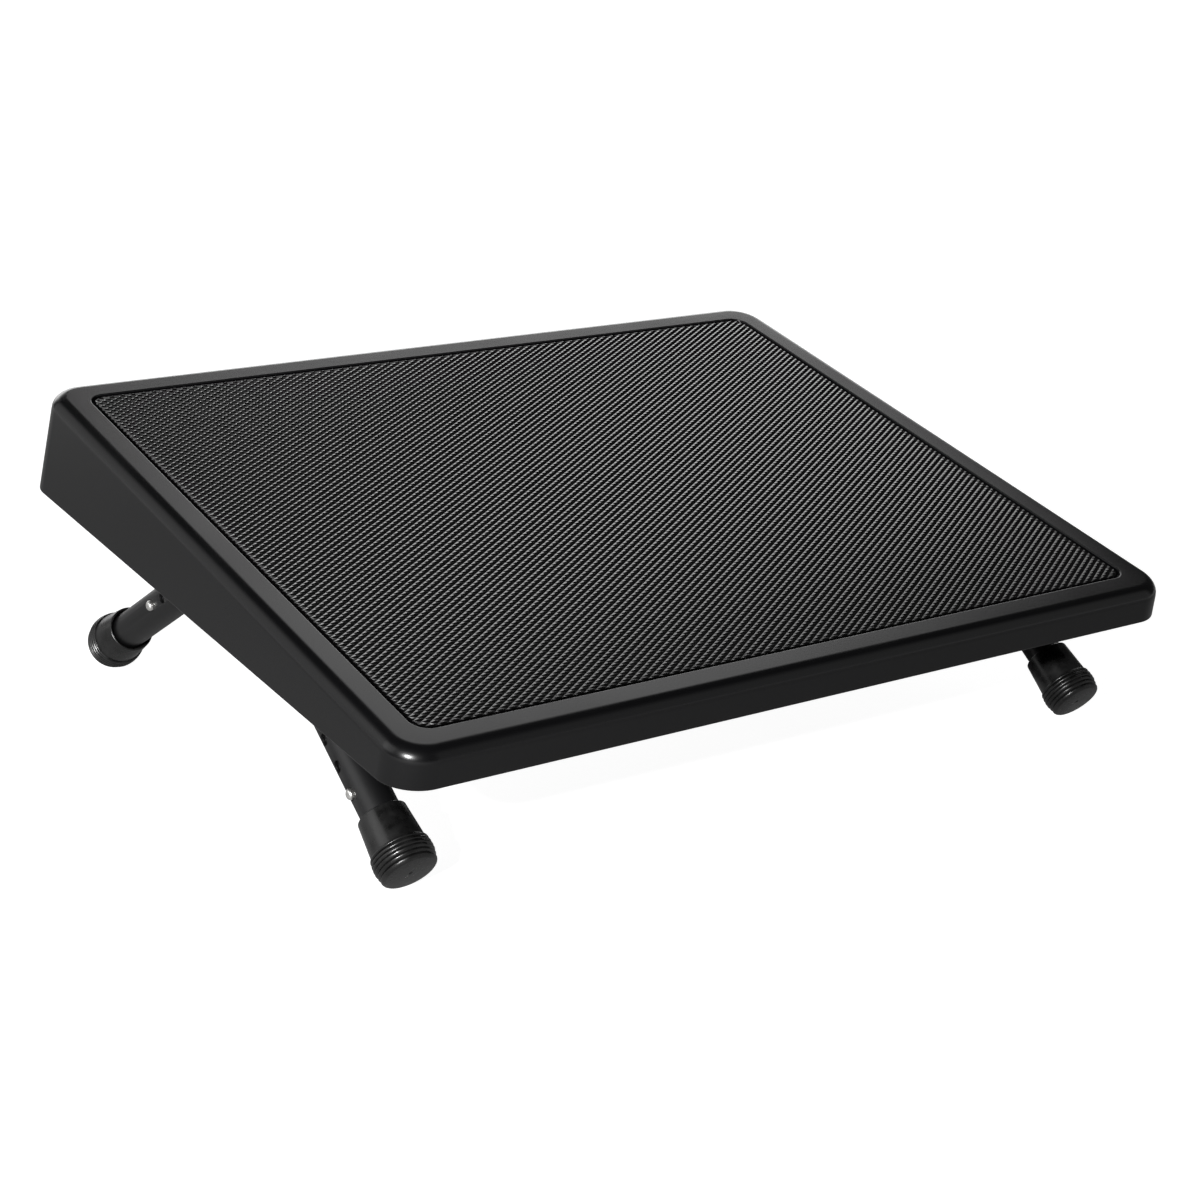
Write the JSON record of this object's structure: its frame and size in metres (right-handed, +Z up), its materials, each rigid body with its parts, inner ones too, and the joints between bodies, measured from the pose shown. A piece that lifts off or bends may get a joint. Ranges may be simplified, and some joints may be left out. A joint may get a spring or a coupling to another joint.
{
  "type": "tilting under desk footrest",
  "caption": "Tilting under desk footrest: a sloping moulded platform with a rubber tread mat, on bent tube leg frames with sliding, button-locked legs and rubber boots.",
  "frame": {"origin": "on the floor, under the middle of the footrest's box", "axes": "+X to the right along the low front edge, +Y to the high back edge, +Z up"},
  "size_m": [0.4716, 0.3792, 0.1479],
  "materials": {
    "moulded_shell": "black moulded plastic, satin on the walls and finely textured on the rim",
    "mat_rubber": "black rubber moulded with a small raised diamond grip",
    "powder_coated_tube": "satin black powder coat on steel tube",
    "saddle_plastic": "black moulded plastic",
    "boot_rubber": "satin black moulded rubber",
    "bright_button": "bright nickel plate",
    "spring_steel": "plain spring steel strip",
    "zinc_screw": "zinc plated"
  },
  "bodies": {
    "platform": {"platform_shell": "moulded_shell", "tread_mat": "mat_rubber", "left_leg_frame": "powder_coated_tube", "right_leg_frame": "powder_coated_tube", "left_front_saddle": "saddle_plastic", "left_rear_saddle": "saddle_plastic", "right_front_saddle": "saddle_plastic", "right_rear_saddle": "saddle_plastic", "left_front_saddle_screw_outer": "zinc_screw", "left_front_saddle_screw_inner": "zinc_screw", "left_rear_saddle_screw_outer": "zinc_screw", "left_rear_saddle_screw_inner": "zinc_screw", "right_front_saddle_screw_outer": "zinc_screw", "right_front_saddle_screw_inner": "zinc_screw", "right_rear_saddle_screw_outer": "zinc_screw", "right_rear_saddle_screw_inner": "zinc_screw", "left_front_button_spring": "spring_steel", "left_rear_button_spring": "spring_steel", "right_front_button_spring": "spring_steel", "right_rear_button_spring": "spring_steel"},
    "left_front_leg": {"left_front_sleeve": "powder_coated_tube", "left_front_boot": "boot_rubber"},
    "left_rear_leg": {"left_rear_sleeve": "powder_coated_tube", "left_rear_boot": "boot_rubber"},
    "right_front_leg": {"right_front_sleeve": "powder_coated_tube", "right_front_boot": "boot_rubber"},
    "right_rear_leg": {"right_rear_sleeve": "powder_coated_tube", "right_rear_boot": "boot_rubber"},
    "left_front_button": {"left_front_snap_button": "bright_button"},
    "left_rear_button": {"left_rear_snap_button": "bright_button"},
    "right_front_button": {"right_front_snap_button": "bright_button"},
    "right_rear_button": {"right_rear_snap_button": "bright_button"}
  },
  "joints": [
    {"name": "left_front_leg_slide", "type": "slide", "parent": "platform", "child": "left_front_leg", "axis": [0, -0.829, -0.5592], "range_m": [0, 0.03], "deforming": ["left_front_snap_button", "left_front_button_spring"]},
    {"name": "left_rear_leg_slide", "type": "slide", "parent": "platform", "child": "left_rear_leg", "axis": [0, 0.829, -0.5592], "range_m": [0, 0.03], "deforming": ["left_rear_snap_button", "left_rear_button_spring"]},
    {"name": "right_front_leg_slide", "type": "slide", "parent": "platform", "child": "right_front_leg", "axis": [0, -0.829, -0.5592], "range_m": [0, 0.03], "deforming": ["right_front_snap_button", "right_front_button_spring"]},
    {"name": "right_rear_leg_slide", "type": "slide", "parent": "platform", "child": "right_rear_leg", "axis": [0, 0.829, -0.5592], "range_m": [0, 0.03], "deforming": ["right_rear_snap_button", "right_rear_button_spring"]},
    {"name": "left_front_button_press", "type": "slide", "parent": "platform", "child": "left_front_button", "axis": [1, 0, 0], "range_m": [0, 0.0032], "stiffness_N_per_m": 1500, "springref_m": -0.002, "deforming": ["left_front_button_spring"]},
    {"name": "left_rear_button_press", "type": "slide", "parent": "platform", "child": "left_rear_button", "axis": [1, 0, 0], "range_m": [0, 0.0032], "stiffness_N_per_m": 1500, "springref_m": -0.002, "deforming": ["left_rear_button_spring"]},
    {"name": "right_front_button_press", "type": "slide", "parent": "platform", "child": "right_front_button", "axis": [-1, 0, 0], "range_m": [0, 0.0032], "stiffness_N_per_m": 1500, "springref_m": -0.002, "deforming": ["right_front_button_spring"]},
    {"name": "right_rear_button_press", "type": "slide", "parent": "platform", "child": "right_rear_button", "axis": [-1, 0, 0], "range_m": [0, 0.0032], "stiffness_N_per_m": 1500, "springref_m": -0.002, "deforming": ["right_rear_button_spring"]}
  ]
}
